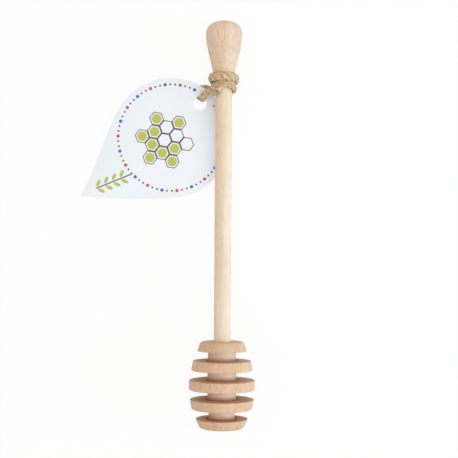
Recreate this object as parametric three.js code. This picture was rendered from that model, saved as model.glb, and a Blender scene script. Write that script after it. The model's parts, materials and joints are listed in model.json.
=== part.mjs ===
// Honey spoon: a turned beech head, stick and knob, jute twine tied round the neck, and a card tag.
// Millimetres. The spoon lies on the table (z = 0) with its knob towards +Y, as when it is put down.

import * as THREE from "three";

// Turned wood: sizes along the axis, from the free end of the head towards the knob.
const TOTAL_LENGTH = 170;
const DISC_THICKNESS = 3.95;
const GROOVE_WIDTH = 4;
const END_ROUNDING = 1.4;
const SHOULDER_ROUNDING = 1.2;

// Diameters of the discs from the free end up, at the lower and at the upper edge of each rim.
const DISC_LOW_DIAMETERS = [18.2, 25, 27.3, 25.6, 20.7];
const DISC_HIGH_DIAMETERS = [21.7, 26.6, 27.3, 24.2, 17.8];
// Wall of the core over the stick's bore in each groove, from the free end up.
const CORE_WALLS = [1.65, 2.15, 2.25, 2.05];

const STICK_DIAMETER = 7;
const HEAD_BORE_DEPTH = 20;
const TENON_SHOULDER = 1.2;
const TENON_LENGTH = 14;
const GLUE_CLEARANCE = 0.3;

const KNOB_LENGTH = 25;
const KNOB_NECK_STEP = 0.3;
const KNOB_WIDEST_DIAMETER = 15.35;
const KNOB_WIDEST_BELOW_TOP = 5.6;
const KNOB_DOME_FULLNESS = 0.67;
const KNOB_TAPER_RUN = 8.5;
const KNOB_TAPER_GAIN = 1.85;
const KNOB_BELLY_RUN = 4;

// Every turned piece has this many flats, one of them facing straight down.
const FLATS = 32;
const FLAT_FACTOR = Math.cos(Math.PI / FLATS);

// Jute twine tied round the neck. Angles run from the left side over the top to the right.
const TWINE_DIAMETER = 2;
const TWINE_CLEARANCE = 0.3;
const TIE_START = 38;
const TIE_END = 588;
// Angles, and places along the axis in twine diameters from the knob's lower end towards its top: the first
// half turn arches over the front, the twine climbs behind the stick, goes round once more and falls.
const TIE_STATIONS = [
  { angle: 38, at: -2 },
  { angle: 92, at: -0.98 },
  { angle: 185, at: -1.7 },
  { angle: 230, at: -1.8 },
  { angle: 385, at: 0.6 },
  { angle: 480, at: 0.6 },
  { angle: 620, at: -0.35 },
];
const LOOP_STEPS = 24;
const WINDING_SIDES = 6;

// The short stretch through the tag's hole, from the winding's start to its end: places to the right of
// the neck, past the neck towards the knob, and of the twine's underside above the table.
const STRETCH_POINTS = [
  [-7.2, -4.9, 6.1],
  [-8.5, -6.2, 4.5],
  [-9.35, -7.15, 3],
  [-9.62, -7.6, 1.6],
  [-9.8, -7.45, 0.55],
  [-10.1, -6.4, 0.08],
  [-10.35, -4.9, 0.05],
  [-10, -3.4, 0.05],
  [-8.9, -2.6, 0.05],
  [-7.4, -2.85, 0.05],
  [-5.6, -3.2, 0.05],
  [-3.2, -2.6, 0.06],
  [-0.9, -1.2, 0.35],
];
const STRETCH_SIDES = 8;
const STRETCH_STEPS = 40;

// Card tag: a round head with a punched hole, drawn out to a tip. Its own frame starts at the hole.
const TAG_RADIUS = 25.4;
const TAG_THICKNESS = 0.4;
const TAG_HOLE_DIAMETER = 6;
const TAG_HOLE_TO_EDGE = 3.5;
const TAG_TIP = { x: -13.9, y: -63 };
// Where the two sides leave the round head, in degrees, and how far they run on straight from there.
const TAG_RIGHT_LEAVES = -45;
const TAG_RIGHT_RUN = 20;
const TAG_LEFT_LEAVES = 187;
const TAG_LEFT_RUN = 12;
// The left side's way out of the tip.
const TAG_TIP_WAY = 97.5;
const TAG_TIP_RUN = 13.1;
const TAG_TURN = -39.7;
// The hole's centre, from the stick's axis at the knob's lower end.
const TAG_HOLE_OUT = -10.4;
const TAG_HOLE_DOWN = -9;
const TABLE_CLEARANCE = 0.05;

const radians = THREE.MathUtils.degToRad;
const BEECH = { head: "#dcb996", stick: "#ead6bc", knob: "#e1c9b1" };
const JUTE = "#c3a480";
const CARD = "#edf1f4";

function material(color, roughness) {
  return new THREE.MeshStandardMaterial({ color, roughness, metalness: 0 });
}

function named(name, geometry, surface) {
  const mesh = new THREE.Mesh(geometry, surface);
  mesh.name = name;
  return mesh;
}

// A turned piece: the outline holds points (radius, place along the axis).
function turned(outline) {
  return new THREE.LatheGeometry(outline, FLATS, Math.PI / FLATS);
}

// Outline points of a rounded corner between two straight edges.
function rounded(before, corner, after, radius, steps = 4) {
  const start = corner.clone().add(before.clone().sub(corner).setLength(radius));
  const end = corner.clone().add(after.clone().sub(corner).setLength(radius));
  return new THREE.QuadraticBezierCurve(start, corner, end).getPoints(steps);
}

const discCount = DISC_LOW_DIAMETERS.length;
const headLength = discCount * DISC_THICKNESS + CORE_WALLS.length * GROOVE_WIDTH;
const neckAt = TOTAL_LENGTH - KNOB_LENGTH;
const stickRadius = STICK_DIAMETER / 2;
const boreRadius = stickRadius + GLUE_CLEARANCE;
const tenonRadius = stickRadius - TENON_SHOULDER;
const neckRadius = stickRadius + KNOB_NECK_STEP;
const twineRadius = TWINE_DIAMETER / 2;
const point = (radius, along) => new THREE.Vector2(radius, along);

// Discs and grooves from the free end up.
function rimOutline() {
  const rim = [];
  DISC_LOW_DIAMETERS.forEach((lowDiameter, index) => {
    const low = index * (DISC_THICKNESS + GROOVE_WIDTH);
    const high = low + DISC_THICKNESS;
    if (index > 0) {
      rim.push(point(boreRadius + CORE_WALLS[index - 1], low));
    }
    rim.push(point(lowDiameter / 2, low), point(DISC_HIGH_DIAMETERS[index] / 2, high));
    if (index < CORE_WALLS.length) {
      rim.push(point(boreRadius + CORE_WALLS[index], high));
    }
  });
  return rim;
}

function headOutline() {
  const rim = rimOutline();
  const end = point(0, 0);
  const boreMouth = point(boreRadius, headLength);
  const boreFloor = headLength - HEAD_BORE_DEPTH;
  const first = rim[0];
  const last = rim[rim.length - 1];
  return [
    end,
    ...rounded(end, first, rim[1], END_ROUNDING),
    ...rim.slice(1, -1),
    ...rounded(rim[rim.length - 2], last, boreMouth, SHOULDER_ROUNDING),
    boreMouth,
    point(boreRadius, boreFloor),
    point(0, boreFloor),
  ];
}

function stickOutline() {
  const foot = headLength - HEAD_BORE_DEPTH + GLUE_CLEARANCE;
  const shoulder = neckAt - GLUE_CLEARANCE;
  const tip = shoulder + TENON_LENGTH;
  return [
    point(0, foot),
    point(stickRadius, foot),
    point(stickRadius, shoulder),
    point(tenonRadius, shoulder),
    point(tenonRadius, tip),
    point(0, tip),
  ];
}

function knobOutline() {
  const widest = KNOB_WIDEST_DIAMETER / 2;
  const widestAt = TOTAL_LENGTH - KNOB_WIDEST_BELOW_TOP;
  const bore = tenonRadius + GLUE_CLEARANCE;
  const boreEnd = neckAt + TENON_LENGTH;
  const taper = new THREE.CubicBezierCurve(
    point(neckRadius, neckAt),
    point(neckRadius + KNOB_TAPER_GAIN, neckAt + KNOB_TAPER_RUN),
    point(widest, widestAt - KNOB_BELLY_RUN),
    point(widest, widestAt),
  );
  const dome = new THREE.CubicBezierCurve(
    point(widest, widestAt),
    point(widest, widestAt + KNOB_WIDEST_BELOW_TOP * KNOB_DOME_FULLNESS),
    point(widest * KNOB_DOME_FULLNESS, TOTAL_LENGTH),
    point(0, TOTAL_LENGTH),
  );
  return [
    point(0, boreEnd),
    point(bore, boreEnd),
    point(bore, neckAt),
    ...taper.getPoints(10),
    ...dome.getPoints(10).slice(1),
  ];
}

// How far from the axis the twine lies on the stick, on the knob's lower edge or on its taper.
function seatRadius(along) {
  const reach = twineRadius + TWINE_CLEARANCE;
  const slope = KNOB_TAPER_GAIN / KNOB_TAPER_RUN;
  const onEdge = Math.sqrt(Math.max(reach ** 2 - along ** 2, 0));
  const onTaper = along > 0 ? slope * along + reach * Math.hypot(1, slope) : 0;
  return Math.max(stickRadius + reach, neckRadius + Math.max(onEdge, onTaper));
}

// Place along the axis at an angle: the twine eases from each station to the next.
function placeAlong(angle) {
  let share = TIE_STATIONS[0].at;
  TIE_STATIONS.slice(1).forEach((station, index) => {
    const before = TIE_STATIONS[index];
    share += (station.at - before.at) * THREE.MathUtils.smoothstep(angle, before.angle, station.angle);
  });
  return share * TWINE_DIAMETER;
}

// Centre line of the winding at an angle in degrees, in the spoon's own frame.
function windingPoint(angle) {
  const along = placeAlong(angle);
  const radius = seatRadius(along);
  const turn = radians(angle);
  return new THREE.Vector3(-radius * Math.cos(turn), neckAt + along, radius * Math.sin(turn));
}

function windingLine() {
  const stepCount = Math.round((TIE_END - TIE_START) / 360 * LOOP_STEPS);
  const line = [];
  for (let step = 0; step <= stepCount; step += 1) {
    line.push(windingPoint(THREE.MathUtils.lerp(TIE_START, TIE_END, step / stepCount)));
  }
  const nudge = 0.1;
  const startWay = windingPoint(TIE_START).sub(windingPoint(TIE_START + nudge)).setLength(TWINE_DIAMETER);
  const endWay = windingPoint(TIE_END).sub(windingPoint(TIE_END - nudge)).setLength(TWINE_DIAMETER);
  line.unshift(line[0].clone().add(startWay));
  line.push(line[line.length - 1].clone().add(endWay));
  return line;
}

// Least gap of a tube to itself, between stretches that are a quarter turn or more of line apart.
function leastGap(line, diameter) {
  const apart = LOOP_STEPS / 4;
  let least = Infinity;
  for (let i = 0; i < line.length; i += 1) {
    for (let j = i + apart; j < line.length; j += 1) {
      least = Math.min(least, line[i].distanceTo(line[j]) - diameter);
    }
  }
  return least;
}

// One closed tube of flat sides round a line of points, with flat ends.
function tube(line, diameter, sides) {
  const positions = [];
  const triangles = [];
  const radius = diameter / 2;
  let across = new THREE.Vector3(0, 1, 0);
  line.forEach((centre, index) => {
    const before = line[Math.max(index - 1, 0)];
    const after = line[Math.min(index + 1, line.length - 1)];
    const way = after.clone().sub(before).normalize();
    across = across.clone().addScaledVector(way, -across.dot(way)).normalize();
    const other = way.clone().cross(across);
    for (let side = 0; side < sides; side += 1) {
      const turn = 2 * Math.PI * side / sides;
      const rim = centre.clone();
      rim.addScaledVector(across, radius * Math.cos(turn)).addScaledVector(other, radius * Math.sin(turn));
      positions.push(rim.x, rim.y, rim.z);
    }
  });
  for (let ring = 0; ring + 1 < line.length; ring += 1) {
    for (let side = 0; side < sides; side += 1) {
      const next = (side + 1) % sides;
      const a = ring * sides + side;
      const b = ring * sides + next;
      triangles.push(a, b, b + sides, a, b + sides, a + sides);
    }
  }
  const lastRing = (line.length - 1) * sides;
  for (let side = 1; side + 1 < sides; side += 1) {
    triangles.push(0, side + 1, side);
    triangles.push(lastRing, lastRing + side, lastRing + side + 1);
  }
  const geometry = new THREE.BufferGeometry();
  geometry.setAttribute("position", new THREE.Float32BufferAttribute(positions, 3));
  geometry.setIndex(triangles);
  geometry.computeVertexNormals();
  return geometry;
}

// A tube with flat ends along a smooth curve.
function stretch(curve, diameter) {
  const corners = [];
  for (let side = 0; side < STRETCH_SIDES; side += 1) {
    const turn = 2 * Math.PI * side / STRETCH_SIDES;
    corners.push(point(diameter / 2 * Math.cos(turn), diameter / 2 * Math.sin(turn)));
  }
  return new THREE.ExtrudeGeometry(new THREE.Shape(corners), { steps: STRETCH_STEPS, extrudePath: curve });
}

function tagGeometry() {
  const centre = point(0, -(TAG_RADIUS - TAG_HOLE_TO_EDGE - TAG_HOLE_DIAMETER / 2));
  const tip = point(TAG_TIP.x, TAG_TIP.y);
  const way = (degrees) => point(Math.cos(radians(degrees)), Math.sin(radians(degrees)));
  const onHead = (degrees) => way(degrees).multiplyScalar(TAG_RADIUS).add(centre);
  const right = onHead(TAG_RIGHT_LEAVES);
  const rightRun = right.clone().addScaledVector(way(TAG_RIGHT_LEAVES - 90), TAG_RIGHT_RUN);
  const leftRun = onHead(TAG_LEFT_LEAVES).addScaledVector(way(TAG_LEFT_LEAVES + 90), TAG_LEFT_RUN);
  const tipRun = tip.clone().addScaledVector(way(TAG_TIP_WAY), TAG_TIP_RUN);
  const shape = new THREE.Shape();
  shape.moveTo(right.x, right.y);
  shape.absarc(centre.x, centre.y, TAG_RADIUS, radians(TAG_RIGHT_LEAVES), radians(TAG_LEFT_LEAVES), false);
  shape.bezierCurveTo(leftRun.x, leftRun.y, tipRun.x, tipRun.y, tip.x, tip.y);
  shape.quadraticCurveTo(rightRun.x, rightRun.y, right.x, right.y);
  const hole = new THREE.Path();
  hole.absarc(0, 0, TAG_HOLE_DIAMETER / 2, 0, 2 * Math.PI, true);
  shape.holes.push(hole);
  const card = new THREE.ExtrudeGeometry(shape, { depth: TAG_THICKNESS, bevelEnabled: false, curveSegments: 16 });
  card.translate(0, 0, -TAG_THICKNESS / 2);
  return card;
}

const wood = new THREE.Group();
wood.add(named("head", turned(headOutline()), material(BEECH.head, 0.62)));
wood.add(named("stick", turned(stickOutline()), material(BEECH.stick, 0.6)));
wood.add(named("knob", turned(knobOutline()), material(BEECH.knob, 0.6)));

// The spoon rests on one edge of the head and on its knob, so its axis sinks towards the knob.
const knobRestAt = TOTAL_LENGTH - KNOB_WIDEST_BELOW_TOP;
const leanOver = (edge) => Math.atan2((edge.x - KNOB_WIDEST_DIAMETER / 2) * FLAT_FACTOR, knobRestAt - edge.y);
const lean = Math.max(...rimOutline().map(leanOver));

const spoon = new THREE.Group();
spoon.rotation.x = -lean;
spoon.add(wood);
spoon.updateMatrixWorld(true);
const bounds = new THREE.Box3().setFromObject(wood, true);
const middle = bounds.getCenter(new THREE.Vector3());
spoon.position.set(-middle.x, -middle.y, -bounds.min.z);
spoon.updateMatrixWorld(true);

const winding = windingLine();
console.log(`least gap of the winding to itself: ${leastGap(winding, TWINE_DIAMETER).toFixed(2)} mm`);
spoon.add(named("twine_winding", tube(winding, TWINE_DIAMETER, WINDING_SIDES), material(JUTE, 0.95)));

const neck = spoon.localToWorld(new THREE.Vector3(0, neckAt, 0));
const tag = named("tag", tagGeometry(), material(CARD, 0.5));
// The tag lies on the twine beside its hole and on the table at its tip.
const tagUnderside = TWINE_DIAMETER + TWINE_CLEARANCE;
const tagTilt = Math.asin((tagUnderside - TABLE_CLEARANCE) / -TAG_TIP.y);
tag.rotation.set(tagTilt, 0, radians(TAG_TURN), "ZXY");
tag.position.set(neck.x + TAG_HOLE_OUT, neck.y + TAG_HOLE_DOWN, tagUnderside + TAG_THICKNESS / 2);

// Each end of the stretch goes on from an end of the winding, in line with it.
function beyond(end, next) {
  const face = spoon.localToWorld(end.clone());
  const way = face.clone().sub(spoon.localToWorld(next.clone())).normalize();
  const start = face.clone().addScaledVector(way, TWINE_CLEARANCE);
  return [start, start.clone().addScaledVector(way, twineRadius)];
}
const stretchCurve = new THREE.CatmullRomCurve3([
  ...beyond(winding[0], winding[1]),
  ...STRETCH_POINTS.map(([out, past, high]) => new THREE.Vector3(neck.x + out, neck.y + past, high + twineRadius)),
  ...beyond(winding.at(-1), winding.at(-2)).reverse(),
]);
const tagLoop = named("twine_tag_loop", stretch(stretchCurve, TWINE_DIAMETER), material(JUTE, 0.95));

const honeySpoon = new THREE.Group();
honeySpoon.add(spoon, tag, tagLoop);

export default honeySpoon;
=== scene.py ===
"""Honey spoon: turned beech with a card tag tied to its neck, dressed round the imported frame."""

import json
import math
import random

import bmesh
import bpy
from mathutils import Matrix, Vector, noise


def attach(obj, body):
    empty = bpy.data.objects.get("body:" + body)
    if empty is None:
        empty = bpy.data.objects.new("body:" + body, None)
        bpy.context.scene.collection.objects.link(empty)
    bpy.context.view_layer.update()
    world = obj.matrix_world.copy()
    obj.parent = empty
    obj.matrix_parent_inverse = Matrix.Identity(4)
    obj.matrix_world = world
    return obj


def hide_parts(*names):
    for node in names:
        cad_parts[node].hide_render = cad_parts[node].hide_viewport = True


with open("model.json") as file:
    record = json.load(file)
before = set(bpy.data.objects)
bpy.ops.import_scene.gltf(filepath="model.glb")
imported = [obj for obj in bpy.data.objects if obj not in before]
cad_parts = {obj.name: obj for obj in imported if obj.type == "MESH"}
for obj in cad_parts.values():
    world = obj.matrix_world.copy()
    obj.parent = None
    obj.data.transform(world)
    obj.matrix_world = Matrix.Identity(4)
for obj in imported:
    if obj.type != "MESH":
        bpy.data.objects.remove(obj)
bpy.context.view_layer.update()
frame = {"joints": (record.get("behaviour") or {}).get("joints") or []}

bl_info = {
    "name": "Honey spoon",
    "version": (1, 0, 0),
    "blender": (4, 5, 0),
    "location": "View3D > Sidebar > Honey spoon",
    "description": "A turned beech honey spoon with a card tag tied on with jute twine",
    "category": "Add Mesh",
}

MM = 0.001
IMAGE_SIDE = 458

# Turned wood, in millimetres from the free end of the head towards the knob.
TOTAL_LENGTH = 170.0
DISC_THICKNESS = 3.95
GROOVE_WIDTH = 4.0
DISC_DIAMETERS = ((18.2, 21.7), (25.0, 26.6), (27.3, 27.3), (25.6, 24.2), (20.7, 17.8))
CORE_DIAMETERS = (10.9, 11.9, 12.1, 11.7)
STICK_DIAMETER = 7.0
HEAD_BORE_DEPTH = 20.0
GLUE_LINE = 0.05
KNOB_LENGTH = 25.0
KNOB_NECK_DIAMETER = 7.6
KNOB_WIDEST_DIAMETER = 15.35
KNOB_WIDEST_BELOW_TOP = 5.6
KNOB_DOME_FULLNESS = 0.67
KNOB_TAPER_RUN = 8.5
KNOB_TAPER_GAIN = 1.85
KNOB_BELLY_RUN = 4.0
NECK_AT = TOTAL_LENGTH - KNOB_LENGTH
HEAD_LENGTH = len(DISC_DIAMETERS) * DISC_THICKNESS + len(CORE_DIAMETERS) * GROOVE_WIDTH

# How finely outlines are cut, and the edges that stay sharp.
TAPER_STEPS = 28
DOME_STEPS = 20
STICK_LENGTHS = 12
SHARP_EDGE = math.radians(38)
ON_AXIS = 1e-6

# Tone and painted shade of the head, in millimetres: each pair is where a change starts and where it is
# complete.
FIRST_GROOVE = (2.0, 3.0)
PAST_LAST_GROOVE = (HEAD_LENGTH - 2.5, HEAD_LENGTH - 1.5)
OFF_CORE = (6.2, 6.7)
FOOT_SHADE_FADES = (0.0, 2.2)
RING_SHADE_FADES = (5.8, 8.0)
END_SHADE_GROWS = (5.0, 17.0)

# Twine, as wound in the solid model.
TWINE_DIAMETER = 2.0
TWINE_CLEARANCE = 0.3
TIE_START = 38.0
TIE_END = 588.0
# Angles in degrees, and places along the axis in twine diameters.
TIE_STATIONS = (
    (TIE_START, -2.0),
    (92.0, -0.98),
    (185.0, -1.7),
    (230.0, -1.8),
    (385.0, 0.6),
    (480.0, 0.6),
    (620.0, -0.35),
)
# The join of the twine's two ends lies under the stick. Angles in degrees.
JOIN_AT = 268.0
JOIN_GAP = 2.0
WINDING_STEP = 10.0
# The strand through the tag's hole: places from the neck, and height of its underside above the floor.
STRETCH_POINTS = (
    (-7.2, -4.9, 6.1),
    (-8.5, -6.2, 4.5),
    (-9.35, -7.15, 3.0),
    (-9.62, -7.6, 1.6),
    (-9.8, -7.45, 0.55),
    (-10.1, -6.4, 0.08),
    (-10.35, -4.9, 0.05),
    (-10.0, -3.4, 0.05),
    (-8.9, -2.6, 0.05),
    (-7.4, -2.85, 0.05),
    (-5.6, -3.2, 0.05),
    (-3.2, -2.6, 0.06),
    (-0.9, -1.2, 0.35),
)

# How the twine is pressed, in millimetres: each pair is where a change starts and where it is complete.
LIFTS_OFF_WOOD = (0.15, 1.3)
TIGHT_TO_SLACK = (-2.5, 0.3)
MEETING_IN_FRONT = (0.0, 2.0)
MEETING_BELOW_NECK = (1.0, 2.0)
MEETING_UPPER_LEFT = (1.0, 3.5)
MEETING_LOWER_LEFT = (1.7, 3.2)
CLOSING_IN_FRONT = (2.0, 3.2)
LOWER_TURN = (0.6, 1.4)
HOLE_LETS_GO = (0.9, 2.4)
HOLE_MIDDLE = 1.0
STRAND_LEFT = (4.5, 6.0)
STRAND_BELOW_NECK = (2.0, 3.0)
STRAND_HEIGHT = (2.6, 4.2)
LYING_LEFT = (5.0, 6.5)
LYING_RISES = (1.1, 1.5)
LYING_BELOW = 1.4
LYING_TOP = 1.12
TWINE_OFF_FLOOR = 0.02

# Reach of a pressed section as a share of the radius.
WOOD_SIDE = 0.98
FREE_SIDE = 0.9
HOLE_SIDE = 0.5

# The twine's surface: its rings of points, its crests, and the grain of its unevenness round and along.
RING_SPACING = 0.16
RING_SIDES = 36
PLY_CREST = 0.7
FINE_GRAIN = (5.0, 0.8)
COARSE_GRAIN = (1.5, 0.35)
COARSE_START = 9.0
COARSE_SHARE = 0.7

# Loose hairs: ranges that chance draws from, as shares of a hair's length or thickness.
HAIR_RISE = (0.2, 0.9)
HAIR_LEAN = (-0.6, 0.6)
HAIR_CURL_OUT = (-0.5, 0.3)
HAIR_CURL_ASIDE = (-0.5, 0.5)
HAIR_LENGTHS = (0.35, 1.0)
HAIR_THICKNESSES = (0.6, 1.0)
HAIR_RINGS = (0.0, 0.35, 0.7, 1.0)
HAIR_SIDES = 3
HAIR_TAPER = 0.75
HAIR_ROOT = 0.8
HAIR_OFF_FLOOR = 0.06
HAIR_OFF_WOOD = 0.15

# Card tag, in its own frame that starts at the hole.
TAG_RADIUS = 25.4
TAG_THICKNESS = 0.4
TAG_HOLE_DIAMETER = 6.0
TAG_HOLE_TO_EDGE = 3.5
TAG_TIP = (-13.9, -63.0)
TAG_RIGHT_LEAVES = -45.0
TAG_RIGHT_RUN = 20.0
TAG_LEFT_LEAVES = 187.0
TAG_LEFT_RUN = 12.0
TAG_TIP_WAY = 97.5
TAG_TIP_RUN = 13.1
TAG_TURN = -39.7
TAG_CENTRE = (0.0, TAG_HOLE_TO_EDGE + TAG_HOLE_DIAMETER / 2 - TAG_RADIUS)
ARC_STEPS = 96
SIDE_STEPS = 28
HOLE_STEPS = 48

# Print on the tag, in millimetres in the tag's own frame.
INK_CREEP = 0.09
COMB_MIDDLE = (-1.5, -21.5)
COMB_PITCH = 5.6
COMB_RADIUS = 10.2
COMB_FILLED = 0.42
COMB_LINE = 0.36
CELL_INSET = (0.75, 0.9)
SPRIG_FOOT = (-4.0, -43.5)
SPRIG_LEAN = math.radians(28.0)
LEAF_PITCH = 3.6
LEAF_PAIRS = 4
LEAF_OUT = 1.75
LEAF_HALF_LENGTH = 1.6
LEAF_HALF_WIDTH = 0.72
STEM_START = -2.2
STEM_LINE = 0.26
DOT_COUNT = 66
DOT_RING = 22.7
DOT_RADIUS = 0.42
DOT_COLOUR_GAIN = 0.3
DOT_CYCLE = 6.0
BLUE_DOT = 1.0
RED_DOT = 4.0
DOTS_OPEN = 2.0

# Floor: half its side in metres, and its depth under the spoon in millimetres.
FLOOR_REACH = 20.0
FLOOR_DEPTH = 0.1


def joint(name):
    """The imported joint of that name."""
    return next(row for row in frame["joints"] if row["name"] == name)


def spoon_matrix():
    """The spoon's own frame: its axis is +Y and the free end of the head is the origin."""
    turn = joint("twine_turn")
    along = Vector(turn["axis"]).normalized()
    across = Vector((1.0, 0.0, 0.0))
    up = across.cross(along)
    foot = Vector(turn["pos_m"]) - along * NECK_AT * MM
    turned = Matrix((across, along, up)).transposed().to_4x4()
    return Matrix.Translation(foot) @ turned


def tag_matrix():
    """The tag's own frame: the hole's centre is the origin and the front faces +Z."""
    swing = joint("tag_swing")
    tilt = math.acos(Vector(swing["axis"]).normalized().z)
    turned = Matrix.Rotation(math.radians(TAG_TURN), 4, "Z") @ Matrix.Rotation(tilt, 4, "X")
    return Matrix.Translation(Vector(swing["pos_m"])) @ turned


def linear(red, green, blue):
    """A colour as a screen shows it, 0 to 255, as the linear values that a material takes."""
    def one(level):
        share = level / 255
        return share / 12.92 if share <= 0.04045 else ((share + 0.055) / 1.055) ** 2.4

    return one(red), one(green), one(blue)


class Socket:
    """A socket of a material's node tree. Arithmetic on it adds Math nodes."""

    def __init__(self, tree, socket=None):
        self.tree = tree
        self.socket = socket

    def node(self, kind, settings=None, sockets=None, output=0):
        """Adds a node, sets it up, feeds its sockets and gives back one of its outputs."""
        made = self.tree.nodes.new(kind)
        for name, value in (settings or {}).items():
            setattr(made, name, value)
        for name, value in (sockets or {}).items():
            self.feed(made.inputs[name], value)
        return Socket(self.tree, made.outputs[output])

    def feed(self, target, value):
        """Links another socket to target, or sets target's own value."""
        if isinstance(value, Socket):
            self.tree.links.new(value.socket, target)
        else:
            target.default_value = value

    def math(self, operation, first, second=0.0):
        return self.node("ShaderNodeMath", {"operation": operation}, {0: first, 1: second})

    def __add__(self, other):
        return self.math("ADD", self, other)

    __radd__ = __add__

    def __sub__(self, other):
        return self.math("SUBTRACT", self, other)

    def __rsub__(self, other):
        return self.math("SUBTRACT", other, self)

    def __mul__(self, other):
        return self.math("MULTIPLY", self, other)

    __rmul__ = __mul__

    def __pow__(self, other):
        return self.math("POWER", self, other)

    def __abs__(self):
        return self.math("ABSOLUTE", self)


def new_material(name):
    """An empty material with a Principled shader: the material, its socket maths and the shader."""
    material = bpy.data.materials.new(name)
    material.use_nodes = True
    shader = material.node_tree.nodes["Principled BSDF"]
    return material, Socket(material.node_tree), shader


def scaled(vector, factors):
    return vector.node("ShaderNodeVectorMath", {"operation": "MULTIPLY"}, {0: vector, 1: factors})


def moved(vector, offset):
    return vector.node("ShaderNodeVectorMath", {"operation": "ADD"}, {0: vector, 1: offset})


def parts_of(vector):
    """The three numbers of a vector."""
    return [vector.node("ShaderNodeSeparateXYZ", None, {0: vector}, axis) for axis in range(3)]


def noise_at(vector, scale, detail=2.0, roughness=0.5, distortion=0.0):
    return vector.node("ShaderNodeTexNoise", None, {
        "Vector": scaled(vector, scale),
        "Scale": 1.0,
        "Detail": detail,
        "Roughness": roughness,
        "Distortion": distortion,
    })


def between(value, low, high):
    """0 below low, 1 above high, and a smooth change between them."""
    return value.node("ShaderNodeMapRange", {"interpolation_type": "SMOOTHSTEP"}, {
        "Value": value,
        "From Min": low,
        "From Max": high,
    })


def mixed(blend, share, first, second):
    """Two colours, sockets or plain, put together in one of the Mix node's ways."""
    def colour(value):
        return value if isinstance(value, Socket) else (*value, 1.0)

    settings = {"data_type": "RGBA", "blend_type": blend}
    sockets = {"Factor": share, 6: colour(first), 7: colour(second)}
    return share.node("ShaderNodeMix", settings, sockets, 2)


def blended(share, first, second):
    """Colour first where share is 0 and second where it is 1."""
    return mixed("MIX", share, first, second)


def darkened(colour, share, tint):
    """The colour multiplied by tint where share is 1."""
    return mixed("MULTIPLY", share, colour, tint)


def bumped(height, distance, strength):
    return height.node("ShaderNodeBump", None, {
        "Height": height,
        "Distance": distance,
        "Strength": strength,
    })


def own_place(sockets):
    """Places on the piece in its own frame, in millimetres."""
    place = sockets.node("ShaderNodeTexCoord", None, None, "Object")
    return scaled(place, (1 / MM, 1 / MM, 1 / MM))


def grooved_with_painted_shade(colour, own, end, core_tone):
    """The head: paler cores, partly painted light against the grooves' shade, with painted shade at
    their feet, on the discs round them and towards both ends.
    """
    x, along, z = parts_of(own)
    radius = length_of(x, z)
    in_grooves = between(along, *FIRST_GROOVE) * (1.0 - between(along, *PAST_LAST_GROOVE))
    core = in_grooves * (1.0 - between(radius, *OFF_CORE))
    above_disc = along.math("FLOORED_MODULO", along, DISC_THICKNESS + GROOVE_WIDTH) - DISC_THICKNESS
    # Painted shade where each core meets the disc below it.
    foot = core * (1.0 - between(above_disc, *FOOT_SHADE_FADES))
    # Painted shade on the disc faces round the foot of each core.
    ring = in_grooves * end * (1.0 - between(radius, *RING_SHADE_FADES))
    from_middle = abs(along - HEAD_LENGTH / 2)
    # Painted shade: the head darker towards both ends, where the smaller discs catch less light.
    colour = darkened(colour, between(from_middle, *END_SHADE_GROWS), tint=(0.94, 0.92, 0.9))
    # The cores' own paler, greyer tone, raised further as painted light against the shade in the
    # grooves.
    colour = blended(core * 0.65, colour, core_tone)
    colour = darkened(colour, foot, tint=(0.58, 0.4, 0.28))
    return darkened(colour, ring, tint=(0.6, 0.41, 0.29))


def beech(name, tone, warm, seed, fleck_depth, fleck_run, end_grain, core_tone=None):
    """Bare beech, with its grain along the spoon: pores, short dark flecks and a drifting tone."""
    material, sockets, shader = new_material(name)
    own = own_place(sockets)
    place = moved(own, (seed, seed * 3.0, seed * 1.7))
    drift = noise_at(place, scale=(0.22, 0.035, 0.22), detail=3.0)
    streaks = noise_at(place, scale=(1.3, 0.06, 1.3), detail=3.0, roughness=0.6)
    flecks = noise_at(place, scale=(2.3, 1.0 / fleck_run, 2.3), roughness=0.55, distortion=0.25)
    pores = noise_at(place, scale=(4.4, 1.5 / fleck_run, 4.4), roughness=0.6)
    colour = blended(between(drift, 0.35, 0.65), tone, warm)
    colour = darkened(colour, between(streaks, 0.45, 0.72) * 0.7, tint=(0.93, 0.9, 0.87))
    colour = darkened(colour, between(flecks, 0.5, 0.68) * fleck_depth, tint=(0.78, 0.69, 0.6))
    colour = darkened(colour, between(pores, 0.5, 0.75) * fleck_depth, tint=(0.86, 0.8, 0.74))
    facing = sockets.node("ShaderNodeTexCoord", None, None, "Normal")
    across = parts_of(facing)[1]
    end = between(abs(across), 0.75, 0.98)
    rays = noise_at(place, scale=(1.3, 0.2, 1.3), detail=4.0, roughness=0.65)
    colour = darkened(colour, end * end_grain, tint=(0.82, 0.81, 0.82))
    colour = darkened(colour, end * between(rays, 0.45, 0.7) * 0.5, tint=(0.9, 0.86, 0.82))
    if core_tone is not None:
        colour = grooved_with_painted_shade(colour, own, end, core_tone)
    shader.inputs["IOR"].default_value = 1.45
    sockets.feed(shader.inputs["Base Color"], colour)
    sockets.feed(shader.inputs["Roughness"], 0.56 + 0.2 * pores + 0.08 * end)
    height = 0.5 * pores + 0.5 * flecks
    sockets.feed(shader.inputs["Normal"], bumped(height, distance=0.06 * MM, strength=0.35))
    return material


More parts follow.
